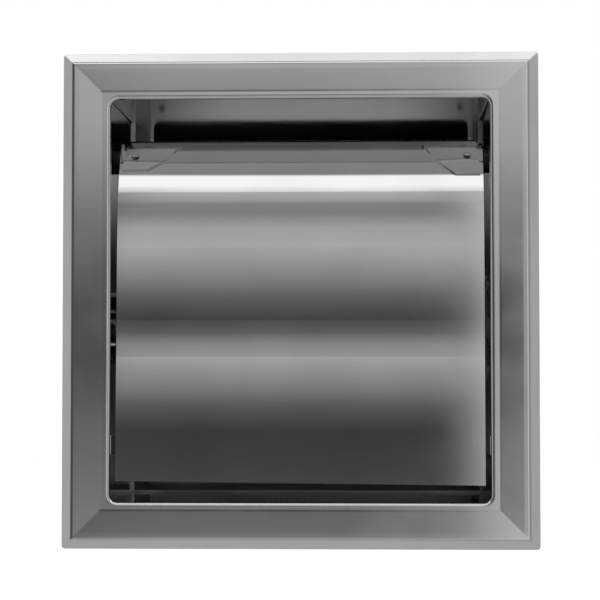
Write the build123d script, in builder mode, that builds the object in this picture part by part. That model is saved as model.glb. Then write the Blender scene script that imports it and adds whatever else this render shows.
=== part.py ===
from build123d import *
from math import cos, degrees, radians, sin, tan
import os

# Recessed toilet paper holder with a hinged hood, in millimetres.
# The origin is the centre of the trim, in the plane of the wall.
# +X is to the right, +Y goes into the wall and +Z is up, so the trim faces -Y.

# Sheet and fits
sheet = 0.8
nest_gap = 0.05
running_gap = 0.05

# Trim
opening_width = 123.9
side_border = 16.05
top_border = 15.35
rim_height = 0.4
bevel_width = 2.6
bevel_angle = 43.6
crest_radius = 2.0
trim_corner = 1.3
shoulder_width = 1.4
shoulder_slope = 0.8
face_slope = 1.5
groove_width = 0.6
groove_slope = 3.0
bead_width = 2.3
bead_radius = 1.2
bead_corner = 2.6
lip_depth = 0.3

# Housing
recess_depth = 104.0
pocket_depth = 7.5
flange_gap = 1.4
housing_corner = 1.0

# Rear liner
liner_sheet = 0.75
liner_reach = 45.0
liner_bend = 1.3
notch_drop = 6.6
notch_side = 1.6
notch_corner = 2.6
seat_notch_margin = 2.0
weld_radius = 1.1
weld_depth = 0.25
liner_weld_inset = 5.4
liner_weld_drop = 11.4

# Hood, from its bottom edge up: a leaning foot, a faint swell, a flatter chest and the brow
hood_side_gap = 1.75
hood_setback = 0.3
hood_gap_left = 6.85
hood_gap_right = 5.55
hood_gap_top = 12.0
hood_lean = 2.1
hood_foot = 18.3
swell_radius = 640.0
swell_turn = 2.1
waist_radius = 172.0
waist_turn = 4.0
chest_radius = 625.0
chest_turn = 2.2
belly_radius = 92.0
belly_turn = 11.6
brow_radius = 39.5
brow_turn = 28.0

# Hinge strap, welded over the top of the hood
strap_inset = 2.1
strap_foot_inset = 0.9
strap_band = 2.0
strap_bend = 1.2
strap_shelf = 11.5
strap_shoulder = 3.5
wing_drop_left = 10.3
wing_drop_right = 12.1
wing_foot = 8.3
wing_waist = 15.3
wing_top = 18.3
wing_waist_rise = 4.5
wing_corner = 2.0
wing_weld_inset = 4.3
wing_weld_turn = 18.5

# Hood pivot
pivot_back = 7.0
pivot_drop = 5.0
pivot_radius = 2.5
pivot_head_radius = 4.0
pivot_head_height = 1.4
pivot_tail_height = 1.3
ear_radius = 4.4
washer_radius = 4.6
washer_play = 0.15
stop_tab_height = 6.0
stop_tab_rise = 10.0
stop_tab_lap = 1.5
stop_clearance = 0.3

# Paper roller
roller_depth = 54.0
roller_z = -8.0
roller_radius = 13.0
roller_wall = 1.5
roller_end_play = 0.5
roller_outer_end = 6.0
roller_lap = 30.0
roller_collar = 4.2
tip_radius = 5.32
tip_length = 3.0
tip_dome = 1.2
tip_gap = 0.08
spring_seat = 2.0
spring_radius = 7.9
spring_wire = 0.6
spring_turns = 6
spring_sides = 6

# Roller brackets
bracket_sheet = 1.0
bracket_width = 24.0
bracket_height = 40.0
bracket_corner = 4.0
cup_height = 2.2
cup_wall = 1.4
rivet_spacing = 30.0
rivet_radius = 1.6
rivet_head_radius = 3.0
rivet_head_height = 1.0

# Rear mounting clamp
clamp_sheet = 1.5
clamp_width = 36.0
clamp_travel = 12.0
clamp_clearance = 0.6
clamp_foot = 15.5
clamp_foot_y = 26.0
clamp_bend = 2.0
screw_spacing = 56.0
screw_radius = 2.5
screw_hole_radius = 2.75
screw_length = 25.0
screw_head_radius = 4.7
screw_head_height = 3.4
screw_slot_width = 1.3
screw_slot_length = 5.6
screw_slot_depth = 1.8
screw_washer_radius = 5.5
screw_washer_height = 1.0
screw_cup_radius = 8.5
nut_radius = 4.6
nut_height = 4.0

# The hood's line comes first, because the opening is as high as the hood and the gaps round it
lean = radians(hood_lean)
brow_end = radians(hood_lean + swell_turn - waist_turn + chest_turn + belly_turn + brow_turn)
brow_start = brow_end - radians(brow_turn)
shelf_rise = strap_bend * (1 - sin(brow_end))


def hood_line(front, bottom):
    """Draws the front line of the hood from its bottom edge up and returns its last arc.
    Lengths run along Y and Z, and a positive turn leans the sheet further back."""
    line = Line((front, bottom), (front + hood_foot * sin(lean), bottom + hood_foot * cos(lean)))
    for radius, turn in (
        (swell_radius, swell_turn),
        (waist_radius, -waist_turn),
        (chest_radius, chest_turn),
        (belly_radius, belly_turn),
        (brow_radius, brow_turn),
    ):
        line = JernArc(line @ 1, line % 1, radius, -turn)
    return line


with BuildLine():
    hood_rise = (hood_line(0, 0) @ 1).Y
opening_height = min(hood_gap_left, hood_gap_right) + hood_rise + shelf_rise + sheet + hood_gap_top

# Places worked out from the sizes above
half_opening = opening_width / 2
half_rise = opening_height / 2
trim_half = half_opening + side_border
trim_rise = half_rise + top_border
crest_run = crest_radius * (sin(radians(bevel_angle)) + sin(radians(shoulder_slope)))
crest_height = (
    rim_height
    + bevel_width * tan(radians(bevel_angle))
    + crest_radius * (cos(radians(shoulder_slope)) - cos(radians(bevel_angle)))
)
shoulder_height = crest_height - shoulder_width * tan(radians(shoulder_slope))
shoulder_end = bevel_width + crest_run + shoulder_width
ring_width = min(side_border, top_border) - bead_width
groove_start = ring_width - groove_width
groove_height = shoulder_height - (groove_start - shoulder_end) * tan(radians(face_slope))
face_height = groove_height - groove_width * tan(radians(groove_slope))
mouth_y = -face_height
housing_half = half_opening
housing_rise = half_rise
lip_end_y = mouth_y + bead_radius + lip_depth
housing_front = lip_end_y + nest_gap
flange_half = trim_half - bevel_width - crest_run - flange_gap
flange_rise = trim_rise - bevel_width - crest_run - flange_gap
liner_half = housing_half - nest_gap
liner_rise = housing_rise - nest_gap
liner_y = mouth_y + recess_depth
liner_back_y = liner_y + liner_sheet
liner_front_y = liner_back_y - liner_reach
notch_z = liner_rise - notch_drop
rear_wall_y = liner_back_y + pocket_depth
rear_face_y = rear_wall_y + sheet

hood_half = half_opening - hood_side_gap
hood_front = mouth_y + hood_setback
hood_bottom_left = hood_gap_left - half_rise
hood_bottom_right = hood_gap_right - half_rise
hood_bottom = min(hood_bottom_left, hood_bottom_right)
stop_top = hood_bottom + stop_tab_rise + stop_tab_height
stop_y = hood_front + (stop_top - hood_bottom) * tan(lean) + sheet / cos(lean) + stop_clearance


with BuildLine():
    brow = hood_line(hood_front, hood_bottom)
brow_axis = brow.arc_center
hood_top = brow @ 1

shelf_z = hood_top.Y + shelf_rise
shelf_front_y = hood_top.X + strap_bend * cos(brow_end)
shelf_top = shelf_z + sheet
shelf_back_y = shelf_front_y + strap_shelf
band_z = shelf_top - strap_band
strap_foot_x = hood_half - strap_foot_inset
ear_x = hood_half - strap_inset
pivot_y = shelf_front_y + pivot_back
pivot_z = shelf_z - pivot_drop


roller_y = mouth_y + roller_depth
bracket_x = housing_half - nest_gap
cup_radius = tip_radius + tip_gap
shoulder_x = bracket_x - bracket_sheet - cup_height - roller_end_play
inner_radius = roller_radius - roller_wall - running_gap

clamp_web_y = rear_face_y + clamp_clearance + clamp_travel
clamp_leg_z = housing_rise + sheet + clamp_clearance
nut_y = clamp_web_y + clamp_sheet
cup_floor_y = rear_wall_y - liner_sheet
head_seat_y = cup_floor_y - screw_washer_height - running_gap

PIECES = []


def keep(builder, name):
    """Labels a finished piece and lists it for export."""
    builder.part.label = name
    PIECES.append(builder.part)


def wall_plane(y):
    """The plane square to Y at the given depth, with Z up. It faces the room."""
    return Plane.XZ.offset(-y)


def side_plane(sign, distance):
    """A plane square to X on the left (-1) or the right (+1), facing outwards with Z up.
    Its own first axis runs along Y on the right and against Y on the left."""
    return Plane(origin=(sign * distance, 0, 0), x_dir=(0, sign, 0), z_dir=(sign, 0, 0))


def weld_dimple(spot, outward):
    """Presses the shallow round mark of a spot weld into the sheet under the given spot."""
    ball = (weld_radius**2 + weld_depth**2) / (2 * weld_depth)
    with Locations(spot + outward * (ball - weld_depth)):
        Sphere(ball, mode=Mode.SUBTRACT)


# Trim frame: one drawn sheet with a mitred bevel, a face dished a little towards the opening,
# and a level bead that rolls into a lip. The outer ring has sharp corners and the roll goes
# round the rounded corners of the opening, and the level bead fills the space between them.
roll_ring_width = bead_radius + nest_gap
level_start = ring_width + nest_gap
with BuildPart() as trim_frame:
    with BuildLine(Plane.XZ) as outer_path:
        Polyline(
            (trim_half, 0),
            (trim_half, trim_rise),
            (-trim_half, trim_rise),
            (-trim_half, -trim_rise),
            (trim_half, -trim_rise),
            (trim_half, 0),
        )
    with BuildSketch(Plane(origin=(trim_half, 0, 0), x_dir=(-1, 0, 0), z_dir=(0, 0, 1))):
        with BuildLine():
            bevel = Polyline((0, 0), (0, rim_height), (bevel_width, rim_height + bevel_width * tan(radians(bevel_angle))))
            JernArc(bevel @ 1, bevel % 1, crest_radius, -bevel_angle - shoulder_slope)
            Polyline(
                (bevel_width + crest_run, crest_height),
                (shoulder_end, shoulder_height),
                (groove_start, groove_height),
                (ring_width, face_height),
                (level_start, face_height),
            )
            offset(amount=sheet, side=Side.RIGHT, closed=True)
        make_face()
    sweep(path=outer_path.wire(), transition=Transition.RIGHT)
    with BuildSketch(Plane.XZ):
        RectangleRounded(2 * trim_half, 2 * trim_rise, trim_corner)
    extrude(amount=crest_height, mode=Mode.INTERSECT)
    # The level bead
    with BuildSketch(Plane.XZ.offset(face_height - sheet)):
        Rectangle(2 * (trim_half - level_start), 2 * (trim_rise - level_start))
        RectangleRounded(
            2 * (half_opening + roll_ring_width),
            2 * (half_rise + roll_ring_width),
            bead_corner + roll_ring_width,
            mode=Mode.SUBTRACT,
        )
    extrude(amount=sheet)
    # The roll and its lip, carried round the rounded corners of the opening
    with BuildLine(Plane.XZ) as roll_path:
        side = Line((half_opening, 0), (half_opening, half_rise - bead_corner))
        for length in (opening_width, opening_height, opening_width):
            turn = JernArc(side @ 1, side % 1, bead_corner, 90)
            side = Line(turn @ 1, turn @ 1 + (turn % 1) * (length - 2 * bead_corner))
        turn = JernArc(side @ 1, side % 1, bead_corner, 90)
        Line(turn @ 1, (half_opening, 0))
    with BuildSketch(Plane(origin=(half_opening, 0, 0), x_dir=(1, 0, 0), z_dir=(0, 0, -1))):
        with BuildLine():
            lip = Line((0, -lip_end_y), (0, face_height - bead_radius))
            roll = JernArc(lip @ 1, lip % 1, bead_radius, -90)
            Line(roll @ 1, (roll_ring_width, face_height))
            offset(amount=sheet, side=Side.RIGHT, closed=True)
        make_face()
    sweep(path=roll_path.wire())
keep(trim_frame, "trim_frame")

# Housing: a deep can behind the trim, with an outward flange at its mouth
with BuildPart() as housing:
    with BuildSketch(wall_plane(rear_face_y)):
        RectangleRounded(2 * (housing_half + sheet), 2 * (housing_rise + sheet), housing_corner + sheet)
    extrude(amount=rear_face_y - housing_front)
    fillet(housing.faces().sort_by(Axis.Y)[-1].edges(), radius=housing_corner)
    with BuildSketch(wall_plane(housing_front + sheet)):
        Rectangle(2 * flange_half, 2 * flange_rise)
    extrude(amount=sheet)
    with BuildSketch(wall_plane(rear_wall_y)):
        RectangleRounded(2 * housing_half, 2 * housing_rise, housing_corner)
    extrude(amount=rear_wall_y - housing_front, mode=Mode.SUBTRACT)
    # Tabs lanced out of the side walls, which the lower corners of the hood close against
    for sign in (-1, 1):
        tab_length = housing_half - hood_half + stop_tab_lap
        with Locations((sign * (housing_half - tab_length / 2), stop_y, stop_top)):
            Box(tab_length, sheet, stop_tab_height, align=(Align.CENTER, Align.MIN, Align.MAX))
        with Locations((sign * (housing_half + sheet / 2), stop_y + sheet, stop_top)):
            Box(2 * sheet, tab_length, stop_tab_height, align=(Align.CENTER, Align.MIN, Align.MAX), mode=Mode.SUBTRACT)
    # Holes for the hood's pins and the rivets of the roller brackets, through both sides
    with BuildSketch(Plane.YZ):
        with Locations((pivot_y, pivot_z)):
            Circle(pivot_radius)
        with Locations((roller_y, roller_z)):
            with GridLocations(0, rivet_spacing, 1, 2):
                Circle(rivet_radius)
    extrude(amount=housing_half + 2 * sheet, both=True, mode=Mode.SUBTRACT)
    with BuildSketch(wall_plane(rear_face_y)):
        with GridLocations(0, screw_spacing, 1, 2):
            Circle(screw_hole_radius)
    extrude(amount=sheet, mode=Mode.SUBTRACT)
keep(housing, "housing")

# Rear liner: a folded tray that closes the back of the recess. Its back is notched along
# the top, its sides are cut back round the roller brackets, and two drawn cups take the screws.
with BuildPart() as rear_liner:
    with BuildSketch(Plane.XY.offset(-liner_rise)):
        with BuildLine():
            FilletPolyline(
                (-liner_half, liner_front_y),
                (-liner_half, liner_back_y),
                (liner_half, liner_back_y),
                (liner_half, liner_front_y),
                radius=liner_bend + liner_sheet,
            )
            offset(amount=liner_sheet, side=Side.RIGHT, closed=True)
        make_face()
    extrude(amount=2 * liner_rise)
    with Locations((0, liner_front_y, -liner_rise)):
        Box(
            2 * liner_half - liner_sheet,
            liner_reach - liner_sheet / 2,
            liner_sheet,
            align=(Align.CENTER, Align.MIN, Align.MIN),
        )
    with BuildSketch(wall_plane(liner_back_y)):
        with Locations((0, notch_z + liner_rise)):
            RectangleRounded(2 * (liner_half - liner_sheet - notch_side), 2 * liner_rise, notch_corner)
    extrude(amount=liner_sheet, mode=Mode.SUBTRACT)
    with BuildSketch(Plane.YZ):
        with Locations((roller_y + bracket_width / 2 + seat_notch_margin, roller_z)):
            Rectangle(
                bracket_width + 2 * seat_notch_margin,
                bracket_height + 2 * seat_notch_margin,
                align=(Align.MAX, Align.CENTER),
            )
    extrude(amount=liner_half, both=True, mode=Mode.SUBTRACT)
    with BuildSketch(wall_plane(rear_wall_y)):
        with GridLocations(0, screw_spacing, 1, 2):
            Circle(screw_cup_radius + liner_sheet)
    extrude(amount=rear_wall_y - liner_y)
    with BuildSketch(wall_plane(cup_floor_y)):
        with GridLocations(0, screw_spacing, 1, 2):
            Circle(screw_cup_radius)
    extrude(amount=cup_floor_y - liner_y, mode=Mode.SUBTRACT)
    with BuildSketch(wall_plane(rear_wall_y)):
        with GridLocations(0, screw_spacing, 1, 2):
            Circle(screw_hole_radius)
    extrude(amount=liner_sheet, mode=Mode.SUBTRACT)
    with BuildSketch(wall_plane(rear_wall_y)):
        RectangleRounded(2 * liner_half, 2 * liner_rise, housing_corner)
    extrude(amount=rear_wall_y - liner_front_y, mode=Mode.INTERSECT)
    for sign in (-1, 1):
        weld_spot = Vector(sign * (liner_half - liner_weld_inset), liner_y, liner_rise - liner_weld_drop)
        weld_dimple(weld_spot, Vector(0, -1, 0))
keep(rear_liner, "rear_liner")

# Hood: one bent sheet, cut a little askew along its bottom edge
with BuildPart() as hood:
    with BuildSketch(Plane.YZ):
        with BuildLine():
            hood_line(hood_front, hood_bottom)
            offset(amount=sheet, side=Side.RIGHT, closed=True)
        make_face()
    extrude(amount=hood_half, both=True)
    with BuildSketch(Plane.XZ):
        with BuildLine():
            Polyline(
                (-hood_half, hood_bottom_left),
                (hood_half, hood_bottom_right),
                (hood_half, hood_bottom - sheet),
                (-hood_half, hood_bottom - sheet),
                close=True,
            )
        make_face()
    extrude(amount=hood_half, both=True, mode=Mode.SUBTRACT)
keep(hood, "hood")

# Hinge strap: follows the brow of the hood, with a wing at each end, turns back as a
# shelf and ends in two ears that hang on the pins
with BuildPart() as hinge_strap:
    with BuildSketch(Plane.YZ):
        with BuildLine():
            edge = hood_line(hood_front, hood_bottom)
            bend = JernArc(edge @ 1, edge % 1, strap_bend, degrees(brow_end) - 90)
            Line(bend @ 1, (shelf_back_y, shelf_z))
            offset(amount=sheet, side=Side.LEFT, closed=True)
        make_face()
    extrude(amount=strap_foot_x, both=True)
    with BuildSketch(Plane.XZ):
        with BuildLine():
            Polyline(
                (-ear_x, shelf_top + sheet),
                (-ear_x, shelf_top - strap_shoulder),
                (-strap_foot_x, shelf_top - wing_drop_left),
                (wing_foot - strap_foot_x, shelf_top - wing_drop_left),
                (wing_waist - strap_foot_x, band_z - wing_waist_rise),
                (wing_top - strap_foot_x, band_z),
                (strap_foot_x - wing_top, band_z),
                (strap_foot_x - wing_waist, band_z - wing_waist_rise),
                (strap_foot_x - wing_foot, shelf_top - wing_drop_right),
                (strap_foot_x, shelf_top - wing_drop_right),
                (ear_x, shelf_top - strap_shoulder),
                (ear_x, shelf_top + sheet),
                close=True,
            )
        outline = make_face()
        inner_corners = outline.vertices().filter_by_position(Axis.X, wing_foot - strap_foot_x, strap_foot_x - wing_foot)
        fillet(inner_corners, radius=wing_corner)
    extrude(amount=hood_half, both=True, mode=Mode.INTERSECT)
    for sign in (-1, 1):
        with BuildSketch(side_plane(sign, ear_x)):
            with Locations((sign * pivot_y, pivot_z)):
                Circle(ear_radius)
            with Locations((sign * pivot_y, (pivot_z + shelf_z) / 2)):
                Rectangle(2 * ear_radius, shelf_z - pivot_z)
        extrude(amount=-sheet)
        weld_tilt = brow_start + radians(wing_weld_turn)
        weld_out = Vector(0, -cos(weld_tilt), sin(weld_tilt))
        weld_axis = Vector(sign * (strap_foot_x - wing_weld_inset), brow_axis.X, brow_axis.Y)
        weld_dimple(weld_axis + weld_out * (brow_radius + sheet), weld_out)
    with BuildSketch(Plane.YZ):
        with Locations((pivot_y, pivot_z)):
            Circle(pivot_radius + running_gap)
    extrude(amount=ear_x, both=True, mode=Mode.SUBTRACT)
keep(hinge_strap, "hinge_strap")

for side, sign in (("left", -1), ("right", 1)):
    pin_place = (sign * pivot_y, pivot_z)
    roller_place = (sign * roller_y, roller_z)
    wall_x = housing_half + sheet
    tail_x = ear_x - sheet - running_gap

    # Pivot pin: a rivet through the wall, the spacer and the ear, spread at its inner end
    with BuildPart() as pivot_pin:
        with BuildSketch(side_plane(sign, wall_x)):
            with Locations(pin_place):
                Circle(pivot_head_radius)
        extrude(amount=pivot_head_height)
        chamfer(pivot_pin.edges().sort_by(Axis.X)[0 if sign < 0 else -1], length=pivot_head_height / 2)
        with BuildSketch(side_plane(sign, wall_x)):
            with Locations(pin_place):
                Circle(pivot_radius)
        extrude(amount=-(wall_x - tail_x))
        with BuildSketch(side_plane(sign, tail_x)):
            with Locations(pin_place):
                Circle(pivot_head_radius)
        extrude(amount=-pivot_tail_height)
    keep(pivot_pin, f"pivot_pin_{side}")

    # Spacer between the wall and the ear
    with BuildPart() as spacer:
        with BuildSketch(side_plane(sign, housing_half)):
            with Locations(pin_place):
                Circle(washer_radius)
                Circle(pivot_radius + running_gap, mode=Mode.SUBTRACT)
        extrude(amount=-(housing_half - ear_x - washer_play))
    keep(spacer, f"pivot_spacer_{side}")

    # Roller bracket: a riveted plate with a round cup for the roller's tip
    with BuildPart() as bracket:
        with BuildSketch(side_plane(sign, bracket_x)):
            with Locations(roller_place):
                RectangleRounded(bracket_width, bracket_height, bracket_corner)
        extrude(amount=-bracket_sheet)
        with BuildSketch(side_plane(sign, bracket_x)):
            with Locations(roller_place):
                Circle(cup_radius + cup_wall)
        extrude(amount=-(bracket_sheet + cup_height))
        with BuildSketch(side_plane(sign, bracket_x)):
            with Locations(roller_place):
                Circle(cup_radius)
                with GridLocations(0, rivet_spacing, 1, 2):
                    Circle(rivet_radius)
        extrude(amount=-(bracket_sheet + cup_height), mode=Mode.SUBTRACT)
    keep(bracket, f"roller_bracket_{side}")

# Rivets of both brackets
with BuildPart() as bracket_rivets:
    rivet_length = 2 * sheet
    for sign in (-1, 1):
        for rivet_z in (roller_z - rivet_spacing / 2, roller_z + rivet_spacing / 2):
            for face_x, direction in ((housing_half + sheet, 1), (bracket_x - bracket_sheet, -1)):
                with BuildSketch(side_plane(sign, face_x)):
                    with Locations((sign * roller_y, rivet_z)):
                        Circle(rivet_head_radius)
                extrude(amount=direction * rivet_head_height)
            with BuildSketch(side_plane(sign, housing_half + sheet)):
                with Locations((sign * roller_y, rivet_z)):
                    Circle(rivet_radius)
            extrude(amount=-(housing_half + sheet - bracket_x + bracket_sheet))
keep(bracket_rivets, "bracket_rivets")

# Roller: a wide half on the left and a narrow half that slides into it, turned about X
roller_plane = Plane(origin=(0, roller_y, roller_z), x_dir=(1, 0, 0), z_dir=(0, -1, 0))
roller_axis = Axis((0, roller_y, roller_z), (1, 0, 0))


def roller_end(sign):
    """Corners of the tip and the shoulder at one end, from the axis outwards."""
    end_x = shoulder_x + tip_length
    return [
        (sign * end_x, 0),
        (sign * end_x, tip_radius - tip_dome),
        (sign * (end_x - tip_dome), tip_radius),
        (sign * shoulder_x, tip_radius),
        (sign * shoulder_x, roller_radius),
    ]


with BuildPart() as roller_wide_half:
    with BuildSketch(roller_plane):
        with BuildLine():
            Polyline(
                *roller_end(-1),
                (roller_outer_end, roller_radius),
                (roller_outer_end, roller_radius - roller_wall),
                (spring_seat - shoulder_x, roller_radius - roller_wall),
                (spring_seat - shoulder_x, 0),
                close=True,
            )
        make_face()
    revolve(axis=roller_axis)
keep(roller_wide_half, "roller_wide_half")

with BuildPart() as roller_narrow_half:
    with BuildSketch(roller_plane):
        with BuildLine():
            Polyline(
                *roller_end(1),
                (shoulder_x - roller_collar, roller_radius),
                (shoulder_x - roller_collar, inner_radius),
                (roller_outer_end - roller_lap, inner_radius),
                (roller_outer_end - roller_lap, inner_radius - roller_wall),
                (shoulder_x - spring_seat, inner_radius - roller_wall),
                (shoulder_x - spring_seat, 0),
                close=True,
            )
        make_face()
    revolve(axis=roller_axis)
keep(roller_narrow_half, "roller_narrow_half")

# Roller spring: one open coil from the seat in one half to the seat in the other
spring_end = shoulder_x - spring_seat - spring_wire - running_gap
with BuildPart() as roller_spring:
    with BuildLine() as coil:
        Helix(
            pitch=2 * spring_end / spring_turns,
            height=2 * spring_end,
            radius=spring_radius,
            center=(-spring_end, roller_y, roller_z),
            direction=(1, 0, 0),
        )
    with BuildSketch(Plane(origin=coil.line @ 0, z_dir=coil.line % 0)):
        RegularPolygon(spring_wire, spring_sides)
    sweep(path=coil.wire(), is_frenet=True)
keep(roller_spring, "roller_spring")

# Rear clamp: a bent strap round the back of the housing, whose feet grip the back of the wall
with BuildPart() as rear_clamp:
    with BuildSketch(Plane.YZ):
        with BuildLine():
            FilletPolyline(
                (clamp_foot_y, clamp_leg_z + clamp_foot),
                (clamp_foot_y, clamp_leg_z),
                (clamp_web_y, clamp_leg_z),
                (clamp_web_y, -clamp_leg_z),
                (clamp_foot_y, -clamp_leg_z),
                (clamp_foot_y, -clamp_leg_z - clamp_foot),
                radius=clamp_bend,
            )
            offset(amount=clamp_sheet, side=Side.LEFT, closed=True)
        make_face()
    extrude(amount=clamp_width / 2, both=True)
    with BuildSketch(wall_plane(nut_y)):
        with GridLocations(0, screw_spacing, 1, 2):
            Circle(screw_hole_radius)
    extrude(amount=clamp_sheet, mode=Mode.SUBTRACT)
keep(rear_clamp, "rear_clamp")

# Nuts pressed into the back of the clamp
with BuildPart() as clamp_nuts:
    with BuildSketch(wall_plane(nut_y)):
        with GridLocations(0, screw_spacing, 1, 2):
            RegularPolygon(nut_radius, 6)
            Circle(screw_radius + running_gap, mode=Mode.SUBTRACT)
    extrude(amount=-nut_height)
keep(clamp_nuts, "clamp_nuts")

# Washers on the floors of the liner's cups
with BuildPart() as screw_washers:
    with BuildSketch(wall_plane(cup_floor_y)):
        with GridLocations(0, screw_spacing, 1, 2):
            Circle(screw_washer_radius)
            Circle(screw_hole_radius, mode=Mode.SUBTRACT)
    extrude(amount=screw_washer_height)
keep(screw_washers, "screw_washers")

for level, screw_z in (("upper", screw_spacing / 2), ("lower", -screw_spacing / 2)):
    # Clamp screw: a pan head with a cross recess and a plain shank
    with BuildPart() as clamp_screw:
        with BuildSketch(wall_plane(head_seat_y)):
            with Locations((0, screw_z)):
                Circle(screw_head_radius)
        extrude(amount=screw_head_height)
        chamfer(clamp_screw.edges().sort_by(Axis.Y)[0], length=screw_head_height / 3)
        with BuildSketch(wall_plane(head_seat_y)):
            with Locations((0, screw_z)):
                Circle(screw_radius)
        extrude(amount=-screw_length)
        with BuildSketch(wall_plane(head_seat_y - screw_head_height)):
            with Locations((0, screw_z)):
                Rectangle(screw_slot_length, screw_slot_width)
                Rectangle(screw_slot_width, screw_slot_length)
        extrude(amount=-screw_slot_depth, mode=Mode.SUBTRACT)
    keep(clamp_screw, f"clamp_screw_{level}")

os.makedirs("parts", exist_ok=True)
for piece in PIECES:
    export_step(piece, f"parts/{piece.label}.step")
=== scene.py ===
import bpy
import numpy as np
from bpy.props import FloatProperty, FloatVectorProperty, IntProperty, PointerProperty
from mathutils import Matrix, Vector


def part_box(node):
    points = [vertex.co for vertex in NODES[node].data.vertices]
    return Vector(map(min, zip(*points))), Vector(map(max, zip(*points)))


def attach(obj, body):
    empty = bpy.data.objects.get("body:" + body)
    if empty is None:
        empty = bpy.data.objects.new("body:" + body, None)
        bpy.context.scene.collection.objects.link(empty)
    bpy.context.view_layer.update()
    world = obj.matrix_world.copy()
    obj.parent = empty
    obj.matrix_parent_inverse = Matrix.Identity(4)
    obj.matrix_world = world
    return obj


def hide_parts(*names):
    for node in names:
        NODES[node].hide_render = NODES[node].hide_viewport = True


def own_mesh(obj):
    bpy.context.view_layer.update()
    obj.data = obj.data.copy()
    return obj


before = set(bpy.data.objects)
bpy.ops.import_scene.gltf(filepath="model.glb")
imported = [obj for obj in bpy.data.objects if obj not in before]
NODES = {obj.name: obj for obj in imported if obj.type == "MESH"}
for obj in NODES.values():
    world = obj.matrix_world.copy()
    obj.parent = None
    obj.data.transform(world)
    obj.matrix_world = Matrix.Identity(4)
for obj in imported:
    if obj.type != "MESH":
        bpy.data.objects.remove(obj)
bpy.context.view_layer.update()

bl_info = {
    "name": "Recessed Toilet Paper Holder",
    "version": (1, 0, 0),
    "blender": (4, 5, 0),
    "location": "View3D > Sidebar > Paper Holder",
    "description": "Finishes the sheet metal, roller and clamp of a recessed toilet paper holder",
    "category": "Add Mesh",
}

MM = 0.001

# Rolled sheet: width of its clouds of haze, length and depth of its grain lines, width and depth of its waves
HAZE_WIDTH = 28 * MM
GRAIN_LENGTH = 14 * MM
GRAIN_DEPTH = 0.0008 * MM
WAVE_WIDTH = 45 * MM
WAVE_DEPTH = 0.06 * MM
# Nearly all of a noise texture lies between these values
NOISE_SPAN = {"From Min": 0.3, "From Max": 0.7}
# Share of the steel's colour left in the haze, in the boxes of painted shade, and in the ring round a spot weld, which
# is heat tint with painted shade over the dimple's glint
HAZY_SHARE = 0.8
SHADE_POCKET_SHARE = 0.08
WELD_TINT_AND_SHADE_SHARE = 0.18
# Roughness in the boxes of painted shade, which blurs what they reflect
SHADE_POCKET_ROUGHNESS = 0.6
# How far from its middle the dark ring of a weld, heat tint with painted shade over the dimple's glint, begins and ends
# to fade
WELD_RING_FADE = {"From Min": 0.7 * MM, "From Max": 1.7 * MM}

# The spot welds of the strap's wings and of the liner's back, in metres from the middle outwards
STRAP_WELD = (0.055, 0.00706, 0.04789)
LINER_WELD = (0.0565, 0.10081, 0.05441)
# Boxes of painted shade on the housing, dark and dull where it lies in shade: between the liner and the back, and on
# the two stop tabs beside the hood. Each is the near and the far corner of a box, in metres from the middle outwards.
SHADE_POCKETS = (
    ((-0.001, 0.1005, -0.001), (0.0623, 0.1094, 0.0662)),
    ((0.057, -0.001, 0.0442), (0.0618, 0.0035, 0.0505)),
)
# Pitch of the spring's closed end turns, in widths of its wire
CLOSED_PITCH = 1.02

# The grey tent in front of the holder: degrees above the horizon, and the level there, where 1 is a white wall
TENT_WHITE = 1.7
TENT_LEVELS = (
    *((-90, 0.66), (-50, 0.55), (-14, 0.48), (-6, 0.38), (-2, 0.22), (0, 0.10), (1.5, 0.075), (2.6, 0.075)),
    *((3.4, 0.115), (4.4, 0.20), (5.6, 0.34), (6.9, 0.46), (7.6, 0.60), (8.6, 0.72), (11, 0.71), (13, 0.68)),
    *((18, 0.63), (21, 0.50), (24, 0.38), (28.6, 0.38), (30.1, 0.58), (36.5, 1.15), (40.5, TENT_WHITE)),
    *((50.8, TENT_WHITE), (52.6, 0.38), (66, 0.40), (70, TENT_WHITE), (78, TENT_WHITE), (82, 1.36), (90, 1.36)),
)
# A black flag on the left of the camera and a white card on its right: degrees to the right, and the level there
SIDE_REACH = 120.0
SIDE_LEVELS = (
    *((-120, 0.63), (-62, 0.63), (-50, 0.11), (-12, 0.11), (-9, 0.2), (3.2, 0.3)),
    *((5, 0.95), (18, 0.95), (30, 0.38), (55, 0.5), (70, 0.63), (120, 0.63)),
)
# Degrees to the right, and how much of the tent's levels by height shows there between the flag and the card
HEIGHT_SHARES = ((-120, 0.0), (-14, 0.0), (-8.5, 1.0), (3.2, 1.0), (5, 0.0), (120, 0.0))
# The flag and the card end between these degrees above or below the horizon
FLAG_EDGE = {"From Min": 25.0, "From Max": 40.0}
# Points of the tent's grid from its middle to its rim, and round it
TENT_GRID = (90, 120)
# The floor's reach each way in metres, its points each way, and the light that its paint lacks to show white
FLOOR_REACH = 6.0
FLOOR_POINTS = 9
FLOOR_GLOW = 0.45
# The world's strength as light on the holder, and as the background that is seen
WORLD_LEVELS = {"To Min": 0.7, "To Max": 1.0}
# Each lamp's name, place, target, size, power in watts and spread. The strip shines as a narrow cone on the top of
# the liner, so the foot of the recess stays dark.
LAMPS = (
    ("Overhead softbox", (0.0, 0.0, 1.1), (0.0, 0.0, 0.0), (1.6, 0.8), 9.0, np.pi),
    ("Front fill", (-0.5, -1.3, 0.5), (0.0, 0.0, 0.0), (0.8, 0.8), 3.0, np.pi),
    ("Recess strip", (0.0, 0.032, 0.058), (0.0, 0.1, 0.056), (0.1, 0.003), 0.023, 1.0),
)


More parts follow.
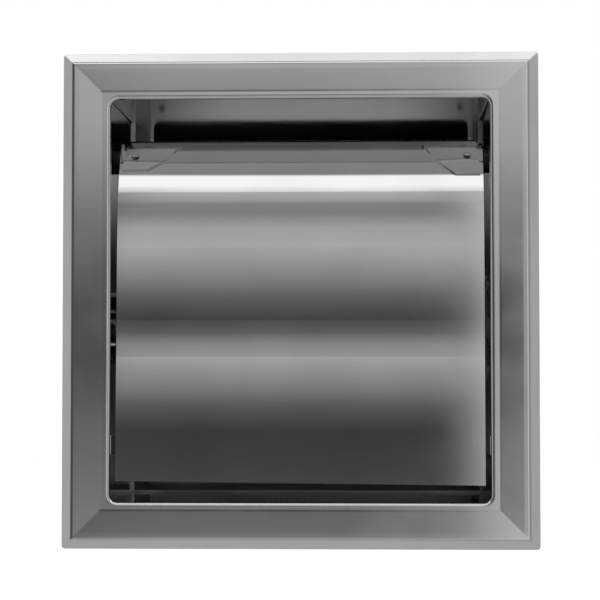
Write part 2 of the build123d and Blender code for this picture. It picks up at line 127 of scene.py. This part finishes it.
def linear(hex_colour):
    """Turns an sRGB hex colour into linear red, green and blue."""
    values = np.array([int(hex_colour[i : i + 2], 16) for i in (1, 3, 5)]) / 255
    return tuple(np.where(values <= 0.04045, values / 12.92, ((values + 0.055) / 1.055) ** 2.4))


def colour_property(name, description, hex_colour):
    """A colour that the sidebar shows."""
    return FloatVectorProperty(name=name, description=description, subtype="COLOR", default=linear(hex_colour))


def add_node(tree, kind, inputs=None, **settings):
    """Adds one shader node, sets its properties, and fills or links its inputs."""
    node = tree.nodes.new(kind)
    for name, value in settings.items():
        setattr(node, name, value)
    for socket, value in (inputs or {}).items():
        if isinstance(value, bpy.types.NodeSocket):
            tree.links.new(value, node.inputs[socket])
        else:
            node.inputs[socket].default_value = value
    return node


def new_material(name):
    """An empty node material with its output node."""
    material = bpy.data.materials.new(name)
    material.use_nodes = True
    material.node_tree.nodes.clear()
    return material, material.node_tree, material.node_tree.nodes.new("ShaderNodeOutputMaterial")


def finish_nodes(names, material):
    """Gives CAD nodes a material without touching their meshes."""
    for name in names:
        obj = NODES[name]
        if not obj.material_slots:
            obj.data.materials.append(material)
        for slot in obj.material_slots:
            slot.material = material


class StudioSettings(bpy.types.PropertyGroup):
    """Camera, light tent and floor."""

    camera_distance: FloatProperty(
        name="Camera distance", description="From the camera to the wall", default=0.6532, unit="LENGTH"
    )
    camera_right: FloatProperty(
        name="Camera right", description="How far the camera stands to the right", default=0.0254, unit="LENGTH"
    )
    camera_drop: FloatProperty(
        name="Camera drop", description="How far the camera stands below the centre", default=0.0274, unit="LENGTH"
    )
    lens: FloatProperty(
        name="Lens", description="Focal length on a 36 mm wide sensor, in millimetres", default=120.0
    )
    tent_radius: FloatProperty(
        name="Tent radius", description="Radius of the grey light tent before the holder", default=2.5, unit="LENGTH"
    )
    tent_reach: FloatProperty(
        name="Tent reach", description="Angle from the middle of the tent to its rim, in degrees", default=112.0
    )
    floor_drop: FloatProperty(
        name="Floor drop", description="How far the floor lies below the holder's centre", default=0.3, unit="LENGTH"
    )


class MetalSettings(bpy.types.PropertyGroup):
    """Colours and roughness of the metals and plastics."""

    bright_colour: colour_property("Bright steel", "Colour of the bright rolled stainless steel", "#CBCBCA")
    bright_roughness: FloatProperty(
        name="Bright roughness", description="Roughness of the bright rolled stainless steel", default=0.055
    )
    drawn_roughness: FloatProperty(
        name="Drawn roughness", description="Roughness of the polished stainless steel of the trim", default=0.13
    )
    can_roughness: FloatProperty(
        name="Can roughness", description="Roughness of the bright annealed housing", default=0.08
    )
    edge_rounding: FloatProperty(
        name="Edge rounding",
        description="How wide sharp folds of the trim catch the light",
        default=0.5 * MM,
        unit="LENGTH",
    )
    mill_colour: colour_property("Mill steel", "Colour of the hazy stainless steel of the recess", "#C2C1BF")
    mill_roughness: FloatProperty(
        name="Mill roughness", description="Roughness of the hazy stainless steel", default=0.38
    )
    zinc_colour: colour_property("Zinc", "Colour of the zinc plating", "#C6CACE")
    wire_colour: colour_property("Spring wire", "Colour of the oiled spring wire", "#8A8A8C")
    nylon_colour: colour_property("Nylon", "Colour of the black nylon spacers", "#1B1B1C")
    roller_colour: colour_property("Metallised plastic", "Colour of the bright roller", "#D6D6D8")


class SpringSettings(bpy.types.PropertyGroup):
    """Sizes of the roller's spring."""

    wire_radius: FloatProperty(
        name="Wire radius", description="Radius of the spring's wire", default=0.6 * MM, unit="LENGTH"
    )
    open_turns: IntProperty(name="Open turns", description="Turns between the closed turns at the ends", default=6)


def cloudy_gloss(tree, clouds, low, high):
    """Spreads a noise over roughness from low to high, so the surface is glossier in some places than in others."""
    spread = {"Value": clouds.outputs["Fac"], "To Min": low, "To Max": high, **NOISE_SPAN}
    return add_node(tree, "ShaderNodeMapRange", spread).outputs["Result"]


def darken(tree, tone, share_kept, colour, dark_share):
    """Mixes the tone with a dark share of the steel's colour. A share kept of 1 leaves the tone as it is."""
    mix = add_node(tree, "ShaderNodeMix", {"Factor": share_kept}, data_type="RGBA")
    mix.inputs["A"].default_value = (*[dark_share * part for part in colour], 1.0)
    tree.links.new(tone, mix.inputs["B"])
    return mix.outputs["Result"]


def outside_box(tree, place, near, far):
    """0 between the near and the far corner of a box, and 1 elsewhere. The least of the six distances into the box is
    worked out, and it is above zero only inside."""
    after = add_node(tree, "ShaderNodeVectorMath", {0: place, 1: near}, operation="SUBTRACT")
    before = add_node(tree, "ShaderNodeVectorMath", {0: far, 1: place}, operation="SUBTRACT")
    room = add_node(tree, "ShaderNodeVectorMath", {0: after.outputs[0], 1: before.outputs[0]}, operation="MINIMUM")
    sides = add_node(tree, "ShaderNodeSeparateXYZ", {"Vector": room.outputs[0]})
    least = add_node(tree, "ShaderNodeMath", {0: sides.outputs["X"], 1: sides.outputs["Y"]}, operation="MINIMUM")
    least = add_node(tree, "ShaderNodeMath", {0: least.outputs[0], 1: sides.outputs["Z"]}, operation="MINIMUM")
    return add_node(tree, "ShaderNodeMath", {0: least.outputs[0], 1: 0.0}, operation="LESS_THAN").outputs[0]


def rolled_steel(name, colour, roughness, haze, grain, rounding=0.0, metallic=1.0, shade_pockets=(), welds=()):
    """Cold rolled stainless sheet. The eye gets soft clouds of haze from handling, a fine grain along X from the rolls,
    and a faint waviness that bends reflections. The real grain is about 0.02 mm wide and is drawn at grain
    millimetres. With rounding, sharp folds catch the light over that width. Below 1, metallic leaves a matt haze on
    the sheet. Inside each box of painted shade the sheet is rough and painted dark, where the sheet lies in shade.
    Round each of the welds a dark ring is painted: heat tint, with painted shade over the dimple's glint."""
    material, tree, output = new_material(name)
    place = add_node(tree, "ShaderNodeTexCoord").outputs["Object"]
    clouds = add_node(
        tree, "ShaderNodeTexNoise", {"Vector": place, "Scale": 1 / HAZE_WIDTH, "Detail": 3.0, "Roughness": 0.55}
    )
    gloss = cloudy_gloss(tree, clouds, roughness - haze, roughness + haze)
    stretch = (1 / GRAIN_LENGTH, 1 / (grain * MM), 1 / (grain * MM))
    along = add_node(tree, "ShaderNodeMapping", {"Vector": place, "Scale": stretch})
    lines = add_node(tree, "ShaderNodeTexNoise", {"Vector": along.outputs["Vector"], "Scale": 1.0, "Detail": 2.0})
    waves = add_node(tree, "ShaderNodeTexNoise", {"Vector": place, "Scale": 1 / WAVE_WIDTH, "Detail": 1.0})
    fine = add_node(
        tree, "ShaderNodeBump", {"Height": lines.outputs["Fac"], "Distance": GRAIN_DEPTH, "Strength": 1.0}
    )
    if rounding:
        folds = add_node(tree, "ShaderNodeBevel", {"Radius": rounding}, samples=8)
        tree.links.new(folds.outputs["Normal"], fine.inputs["Normal"])
    broad = add_node(
        tree,
        "ShaderNodeBump",
        {"Height": waves.outputs["Fac"], "Distance": WAVE_DEPTH, "Strength": 1.0, "Normal": fine.outputs["Normal"]},
    )
    tint = add_node(tree, "ShaderNodeMix", {"Factor": clouds.outputs["Fac"]}, data_type="RGBA")
    tint.inputs["A"].default_value = (*[HAZY_SHARE * part for part in colour], 1.0)
    tint.inputs["B"].default_value = (*colour, 1.0)
    tone = tint.outputs["Result"]
    apart = add_node(tree, "ShaderNodeVectorMath", {0: place}, operation="ABSOLUTE").outputs[0]
    # Painted round each weld: a dark ring, heat tint with painted shade over the glint of the weld's dimple
    for weld in welds:
        away = add_node(tree, "ShaderNodeVectorMath", {0: apart, 1: weld}, operation="DISTANCE")
        outside_weld_ring = add_node(tree, "ShaderNodeMapRange", {"Value": away.outputs["Value"], **WELD_RING_FADE})
        tone = darken(tree, tone, outside_weld_ring.outputs["Result"], colour, WELD_TINT_AND_SHADE_SHARE)
    # Painted shade: inside each box the colour is darkened and the roughness raised, where the sheet lies in shade
    for near, far in shade_pockets:
        unshaded = outside_box(tree, apart, near, far)
        tone = darken(tree, tone, unshaded, colour, SHADE_POCKET_SHARE)
        rougher = add_node(tree, "ShaderNodeMapRange", {"Value": unshaded, "To Min": SHADE_POCKET_ROUGHNESS})
        tree.links.new(gloss, rougher.inputs["To Max"])
        gloss = rougher.outputs["Result"]
    shader = add_node(
        tree,
        "ShaderNodeBsdfPrincipled",
        {"Base Color": tone, "Metallic": metallic, "Roughness": gloss, "Normal": broad.outputs["Normal"]},
    )
    tree.links.new(shader.outputs["BSDF"], output.inputs["Surface"])
    return material


def pitted_surface(name, colour, metallic, gloss, clouds, pits, depth):
    """A surface with clouds of gloss and fine pits. Gloss is the lowest and the highest roughness, and clouds and pits
    are each the width and the detail of a noise."""
    material, tree, output = new_material(name)
    place = add_node(tree, "ShaderNodeTexCoord").outputs["Object"]
    broad, fine = (
        add_node(tree, "ShaderNodeTexNoise", {"Vector": place, "Scale": 1 / width, "Detail": detail})
        for width, detail in (clouds, pits)
    )
    bump = add_node(tree, "ShaderNodeBump", {"Height": fine.outputs["Fac"], "Distance": depth, "Strength": 1.0})
    shader = add_node(
        tree,
        "ShaderNodeBsdfPrincipled",
        {
            "Base Color": (*colour, 1.0),
            "Metallic": metallic,
            "Roughness": cloudy_gloss(tree, broad, *gloss),
            "Normal": bump.outputs["Normal"],
        },
    )
    tree.links.new(shader.outputs["BSDF"], output.inputs["Surface"])
    return material


def plated_metal(name, colour, roughness, grain):
    """Thin bright plating. The eye gets small cloudy changes of gloss over a slightly pitted ground. The real pits are
    about 0.05 mm wide and are drawn at grain millimetres."""
    gloss = (roughness * 0.75, roughness * 1.3)
    return pitted_surface(name, colour, 1.0, gloss, (6 * MM, 4.0), (grain * MM, 3.0), 0.004 * MM)


def moulded_plastic(name, colour, roughness, metallic):
    """Injection moulded plastic. The eye gets a soft gloss with slight flow clouds and a very fine orange peel."""
    gloss = (roughness * 0.8, roughness * 1.25)
    return pitted_surface(name, colour, metallic, gloss, (12 * MM, 2.0), (0.7 * MM, 1.0), 0.003 * MM)


def grid_mesh(name, points, close_u=False, capped=False):
    """Makes an object from a grid of points, rows by columns, as quads. With close_u the last column joins the first,
    and capped then closes the first and the last row with a face each."""
    rows, columns = points.shape[:2]
    index = np.arange(rows * columns).reshape(rows, columns)
    right = np.roll(index, -1, axis=1)
    if not close_u:
        index, right = index[:, :-1], right[:, :-1]
    faces = np.stack([index[:-1], right[:-1], right[1:], index[1:]], axis=-1).reshape(-1, 4).tolist()
    if capped:
        faces += [index[0, ::-1].tolist(), index[-1].tolist()]
    mesh = bpy.data.meshes.new(name)
    mesh.from_pydata(points.reshape(-1, 3), [], faces)
    mesh.polygons.foreach_set("use_smooth", np.ones(len(mesh.polygons), dtype=bool))
    obj = bpy.data.objects.new(name, mesh)
    bpy.context.scene.collection.objects.link(obj)
    return obj


def coil_spring(name, low, high, wire, turns, sides=12, steps=36):
    """A round wire carried along a helix inside the box from low to high, as a closed tube.
    The angle grows evenly along the wire, with one closed turn at each end. The pitch there is little more than the
    wire's width, and opens smoothly, half a turn long, to an equal pitch between them. Each ring is the wire's radius
    times the cosine of its own angle towards the helix's radius, and times the sine towards the cross product of the
    tangent and that radius."""
    wound = turns + 2
    share = np.linspace(0, wound, wound * steps + 1)
    opened = np.clip(2 * (np.minimum(share, wound - share) - 0.75), 0, 1)
    opened = opened**2 * (3 - 2 * opened)
    growth = np.concatenate([[0], np.cumsum((opened[1:] + opened[:-1]) / 2)]) / steps
    closed = CLOSED_PITCH * 2 * wire * share
    rise = closed + growth * (high[0] - low[0] - 2 * wire - closed[-1]) / growth[-1]
    angle = 2 * np.pi * share
    radius = (high[2] - low[2]) / 2 - wire
    outward = np.stack([np.zeros_like(angle), np.cos(angle), np.sin(angle)], axis=1)
    line = radius * outward + np.array([low[0] + wire, (low[1] + high[1]) / 2, (low[2] + high[2]) / 2])
    line[:, 0] += rise
    tangent = np.gradient(line, axis=0)
    tangent /= np.linalg.norm(tangent, axis=1, keepdims=True)
    across = np.cross(tangent, outward)
    turn = np.linspace(0, 2 * np.pi, sides, endpoint=False)[None, :, None]
    rings = line[:, None] + wire * (np.cos(turn) * outward[:, None] + np.sin(turn) * across[:, None])
    return grid_mesh(name, rings, close_u=True, capped=True)


class HOLDER_OT_finish_front(bpy.types.Operator):
    """Gives the trim, the hood and its hinge strap their bright rolled finish"""

    bl_idname = "holder.finish_front"
    bl_label = "Finish Front Sheets"

    def execute(self, context):
        metal = context.scene.holder_metal
        rolled = rolled_steel(
            "Bright rolled stainless steel",
            metal.bright_colour,
            metal.bright_roughness,
            haze=0.01,
            grain=0.3,
            # The strap's welds get a painted dark ring: heat tint, with painted shade over the dimple's glint
            welds=[STRAP_WELD],
        )
        drawn = rolled_steel(
            "Polished drawn stainless steel",
            metal.bright_colour,
            metal.drawn_roughness,
            haze=0.03,
            grain=0.3,
            rounding=metal.edge_rounding,
        )
        finish_nodes(["hood", "hinge_strap"], rolled)
        finish_nodes(["trim_frame"], drawn)
        return {"FINISHED"}


class HOLDER_OT_finish_recess(bpy.types.Operator):
    """Gives the housing its bright annealed finish, and the liner and the roller brackets their hazy one"""

    bl_idname = "holder.finish_recess"
    bl_label = "Finish Recess"

    def execute(self, context):
        metal = context.scene.holder_metal
        bright = rolled_steel(
            "Bright annealed stainless steel",
            metal.bright_colour,
            metal.can_roughness,
            haze=0.02,
            grain=0.4,
            # Painted shade: the housing is dark and dull inside the boxes where it lies in shade behind the liner and
            # beside the hood
            shade_pockets=SHADE_POCKETS,
        )
        hazy = rolled_steel(
            "Hazy mill stainless steel",
            metal.mill_colour,
            metal.mill_roughness,
            haze=0.07,
            grain=0.5,
            metallic=0.75,
            # The liner's welds get a painted dark ring: heat tint, with painted shade over the dimple's glint
            welds=[LINER_WELD],
        )
        finish_nodes(["housing"], bright)
        finish_nodes(["rear_liner", "roller_bracket_left", "roller_bracket_right"], hazy)
        return {"FINISHED"}


class HOLDER_OT_wind_spring(bpy.types.Operator):
    """Winds the roller's spring with closed ends and fixes it to the body of the wide half. The real spring shortens as
    the narrow half slides in; this one keeps its length
    """

    bl_idname = "holder.wind_spring"
    bl_label = "Wind Spring"

    def execute(self, context):
        size = context.scene.holder_spring
        low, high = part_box("roller_spring")
        spring = coil_spring("wound_spring", low, high, size.wire_radius, size.open_turns)
        spring.data.materials.append(
            plated_metal("Oiled spring wire", context.scene.holder_metal.wire_colour, roughness=0.3, grain=0.5)
        )
        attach(spring, "roller_wide")
        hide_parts("roller_spring")
        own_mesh(spring)
        return {"FINISHED"}


class HOLDER_OT_finish_roller(bpy.types.Operator):
    """Gives the roller halves a metallised finish"""

    bl_idname = "holder.finish_roller"
    bl_label = "Finish Roller"

    def execute(self, context):
        metallised = moulded_plastic(
            "Metallised moulded plastic", context.scene.holder_metal.roller_colour, roughness=0.14, metallic=1.0
        )
        finish_nodes(["roller_wide_half", "roller_narrow_half"], metallised)
        return {"FINISHED"}


class HOLDER_OT_finish_fixings(bpy.types.Operator):
    """Gives the pins, rivets, screws, nuts, washers and clamp their plating and the spacers their nylon"""

    bl_idname = "holder.finish_fixings"
    bl_label = "Finish Fixings"

    def execute(self, context):
        metal = context.scene.holder_metal
        zinc = plated_metal("Bright zinc plated steel", metal.zinc_colour, roughness=0.26, grain=0.9)
        nylon = moulded_plastic("Black moulded nylon", metal.nylon_colour, roughness=0.42, metallic=0.0)
        plated = ["pivot_pin_left", "pivot_pin_right", "bracket_rivets", "rear_clamp", "clamp_nuts", "screw_washers"]
        finish_nodes(plated + ["clamp_screw_upper", "clamp_screw_lower"], zinc)
        finish_nodes(["pivot_spacer_left", "pivot_spacer_right"], nylon)
        return {"FINISHED"}


def fill_curve(node, points):
    """Sets a float curve through the given side angles, in degrees, and values."""
    curve = node.mapping.curves[0]
    while len(curve.points) < len(points):
        curve.points.new(0.5, 0.5)
    for point, (angle, level) in zip(curve.points, points):
        point.location = ((angle + SIDE_REACH) / (2 * SIDE_REACH), level)
        point.handle_type = "VECTOR"
    node.mapping.update()


def tent_light(radius):
    """Emission of the light tent: a level for each height above the horizon. Near the horizon and beside the camera
    the levels by direction of the flag and the card take its place. Levels are the light that a perfect mirror would
    show, where 1 is white."""
    material, tree, output = new_material("Grey studio tent")
    place = add_node(tree, "ShaderNodeTexCoord").outputs["Object"]
    split = add_node(tree, "ShaderNodeSeparateXYZ", {"Vector": place})
    sine = add_node(tree, "ShaderNodeMath", {0: split.outputs["Z"], 1: radius}, operation="DIVIDE")
    height = add_node(tree, "ShaderNodeMath", {0: sine.outputs[0]}, operation="ARCSINE")
    degrees = add_node(tree, "ShaderNodeMath", {0: height.outputs[0]}, operation="DEGREES")
    back = add_node(tree, "ShaderNodeMath", {0: split.outputs["Y"], 1: -1.0}, operation="MULTIPLY")
    turn = add_node(tree, "ShaderNodeMath", {0: split.outputs["X"], 1: back.outputs[0]}, operation="ARCTAN2")
    side = add_node(tree, "ShaderNodeMath", {0: turn.outputs[0]}, operation="DEGREES")
    share = add_node(
        tree, "ShaderNodeMapRange", {"Value": degrees.outputs[0], "From Min": -90.0, "From Max": 90.0}
    )
    side_share = add_node(
        tree, "ShaderNodeMapRange", {"Value": side.outputs[0], "From Min": -SIDE_REACH, "From Max": SIDE_REACH}
    )
    ramp = add_node(tree, "ShaderNodeValToRGB", {"Fac": share.outputs["Result"]})
    stops = ramp.color_ramp.elements
    while len(stops) < len(TENT_LEVELS):
        stops.new(0.5)
    for stop, (elevation, level) in zip(stops, TENT_LEVELS):
        stop.position = (elevation + 90) / 180
        stop.color = (*[level / TENT_WHITE] * 3, 1.0)
    beside = add_node(tree, "ShaderNodeFloatCurve", {"Value": side_share.outputs["Result"]})
    fill_curve(beside, SIDE_LEVELS)
    kept = add_node(tree, "ShaderNodeFloatCurve", {"Value": side_share.outputs["Result"]})
    fill_curve(kept, HEIGHT_SHARES)
    steep = add_node(tree, "ShaderNodeMath", {0: degrees.outputs[0]}, operation="ABSOLUTE")
    high = add_node(tree, "ShaderNodeMapRange", {"Value": steep.outputs[0], **FLAG_EDGE})
    share_kept = add_node(
        tree, "ShaderNodeMath", {0: kept.outputs["Value"], 1: high.outputs["Result"]}, operation="MAXIMUM"
    )
    by_height = add_node(
        tree, "ShaderNodeEmission", {"Color": ramp.outputs["Color"], "Strength": TENT_WHITE}
    )
    by_side = add_node(
        tree, "ShaderNodeEmission", {"Color": (1.0, 1.0, 1.0, 1.0), "Strength": beside.outputs["Value"]}
    )
    light = add_node(
        tree, "ShaderNodeMixShader", {0: share_kept.outputs[0], 1: by_side.outputs[0], 2: by_height.outputs[0]}
    )
    tree.links.new(light.outputs["Shader"], output.inputs["Surface"])
    return material


def seen_share(tree):
    """1 for camera, glossy and transmission rays, and 0 for the rays that light the holder."""
    rays = add_node(tree, "ShaderNodeLightPath").outputs
    seen = add_node(
        tree, "ShaderNodeMath", {0: rays["Is Camera Ray"], 1: rays["Is Glossy Ray"]}, operation="MAXIMUM"
    )
    seen = add_node(
        tree, "ShaderNodeMath", {0: seen.outputs[0], 1: rays["Is Transmission Ray"]}, operation="MAXIMUM"
    )
    return seen.outputs[0]


def floor_paint():
    """Matt white paint, cloudy over about 0.17 m, that shows white to the camera and keeps the holder's shadow."""
    material, tree, output = new_material("Matt white floor paint")
    place = add_node(tree, "ShaderNodeTexCoord").outputs["Object"]
    clouds = add_node(tree, "ShaderNodeTexNoise", {"Vector": place, "Scale": 6.0, "Detail": 2.0})
    rough = add_node(
        tree, "ShaderNodeMapRange", {"Value": clouds.outputs["Fac"], "To Min": 0.7, "To Max": 0.9}
    )
    paint = {"Base Color": (*linear("#E8E8E6"), 1.0), "Roughness": rough.outputs["Result"]}
    matt = add_node(tree, "ShaderNodeBsdfPrincipled", paint)
    glow = add_node(tree, "ShaderNodeMath", {0: seen_share(tree), 1: FLOOR_GLOW}, operation="MULTIPLY")
    white = add_node(tree, "ShaderNodeEmission", {"Color": (1.0, 1.0, 1.0, 1.0), "Strength": glow.outputs[0]})
    both = add_node(tree, "ShaderNodeAddShader", {0: matt.outputs["BSDF"], 1: white.outputs["Emission"]})
    tree.links.new(both.outputs["Shader"], output.inputs["Surface"])
    return material


class HOLDER_OT_build_studio(bpy.types.Operator):
    """Sets up the camera, the floor, the light tent and the lamps"""

    bl_idname = "holder.build_studio"
    bl_label = "Build Studio"

    def execute(self, context):
        scene = context.scene
        studio = scene.holder_studio
        scene.view_settings.view_transform = "Standard"

        camera = bpy.data.objects.new("Camera", bpy.data.cameras.new("Camera"))
        scene.collection.objects.link(camera)
        camera.data.lens = studio.lens
        camera.data.sensor_width = 36.0
        camera.data.clip_start = 0.01
        camera.location = (studio.camera_right, -studio.camera_distance, -studio.camera_drop)
        camera.rotation_mode = "QUATERNION"
        camera.rotation_quaternion = (-camera.location).to_track_quat("-Z", "Y")
        scene.camera = camera

        # The tent is a cap of a sphere round -Y: polar runs from its middle to behind the wall, turn runs round it,
        # and each point is the radius times the sine of polar across, and times its cosine towards the room
        rings, columns = TENT_GRID
        polar, turn = np.meshgrid(
            np.radians(np.linspace(0.001, studio.tent_reach, rings)),
            np.radians(np.linspace(0, 360, columns, endpoint=False)),
            indexing="ij",
        )
        directions = np.stack([np.sin(polar) * np.cos(turn), -np.cos(polar), np.sin(polar) * np.sin(turn)], axis=-1)
        tent = grid_mesh("studio_tent", studio.tent_radius * directions, close_u=True)
        tent.data.materials.append(tent_light(studio.tent_radius))
        tent.visible_camera = False
        tent.visible_diffuse = False
        tent.visible_shadow = False

        span = np.linspace(-FLOOR_REACH, FLOOR_REACH, FLOOR_POINTS)
        across, deep = np.meshgrid(span, span, indexing="xy")
        level = np.full_like(across, -studio.floor_drop)
        floor = grid_mesh("studio_floor", np.stack([across, deep, level], axis=-1))
        floor.data.materials.append(floor_paint())
        floor.visible_glossy = False

        world = bpy.data.worlds.new("Studio light")
        scene.world = world
        world.use_nodes = True
        tree = world.node_tree
        tree.nodes.clear()
        strength = add_node(tree, "ShaderNodeMapRange", {"Value": seen_share(tree), **WORLD_LEVELS})
        sky = add_node(
            tree, "ShaderNodeBackground", {"Color": (1.0, 1.0, 1.0, 1.0), "Strength": strength.outputs["Result"]}
        )
        output = add_node(tree, "ShaderNodeOutputWorld")
        tree.links.new(sky.outputs["Background"], output.inputs["Surface"])

        for name, place, target, size, power, spread in LAMPS:
            lamp = bpy.data.objects.new(name, bpy.data.lights.new(name, "AREA"))
            lamp.data.shape = "RECTANGLE"
            lamp.data.size, lamp.data.size_y = size
            lamp.data.energy = power
            lamp.data.spread = spread
            lamp.location = place
            lamp.rotation_mode = "QUATERNION"
            lamp.rotation_quaternion = (Vector(target) - lamp.location).to_track_quat("-Z", "Y")
            lamp.visible_camera = False
            lamp.visible_glossy = False
            scene.collection.objects.link(lamp)
        return {"FINISHED"}


class HOLDER_PT_panel(bpy.types.Panel):
    """Lists the settings and the steps of the paper holder"""

    bl_label = "Paper Holder"
    bl_idname = "HOLDER_PT_panel"
    bl_space_type = "VIEW_3D"
    bl_region_type = "UI"
    bl_category = "Paper Holder"

    def draw(self, context):
        scene = context.scene
        for group in (scene.holder_metal, scene.holder_spring, scene.holder_studio):
            for name in group.__annotations__:
                self.layout.prop(group, name)
        for step in STEPS:
            self.layout.operator(step.bl_idname)


STEPS = (
    HOLDER_OT_finish_front,
    HOLDER_OT_finish_recess,
    HOLDER_OT_wind_spring,
    HOLDER_OT_finish_roller,
    HOLDER_OT_finish_fixings,
    HOLDER_OT_build_studio,
)
CLASSES = (StudioSettings, MetalSettings, SpringSettings, *STEPS, HOLDER_PT_panel)


def register():
    for cls in CLASSES:
        bpy.utils.register_class(cls)
    bpy.types.Scene.holder_metal = PointerProperty(type=MetalSettings)
    bpy.types.Scene.holder_spring = PointerProperty(type=SpringSettings)
    bpy.types.Scene.holder_studio = PointerProperty(type=StudioSettings)


def unregister():
    del bpy.types.Scene.holder_studio
    del bpy.types.Scene.holder_spring
    del bpy.types.Scene.holder_metal
    for cls in reversed(CLASSES):
        bpy.utils.unregister_class(cls)


def main():
    """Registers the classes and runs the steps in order."""
    register()
    bpy.ops.holder.finish_front()
    bpy.ops.holder.finish_recess()
    bpy.ops.holder.wind_spring()
    bpy.ops.holder.finish_roller()
    bpy.ops.holder.finish_fixings()
    bpy.ops.holder.build_studio()


if __name__ == "__main__":
    main()
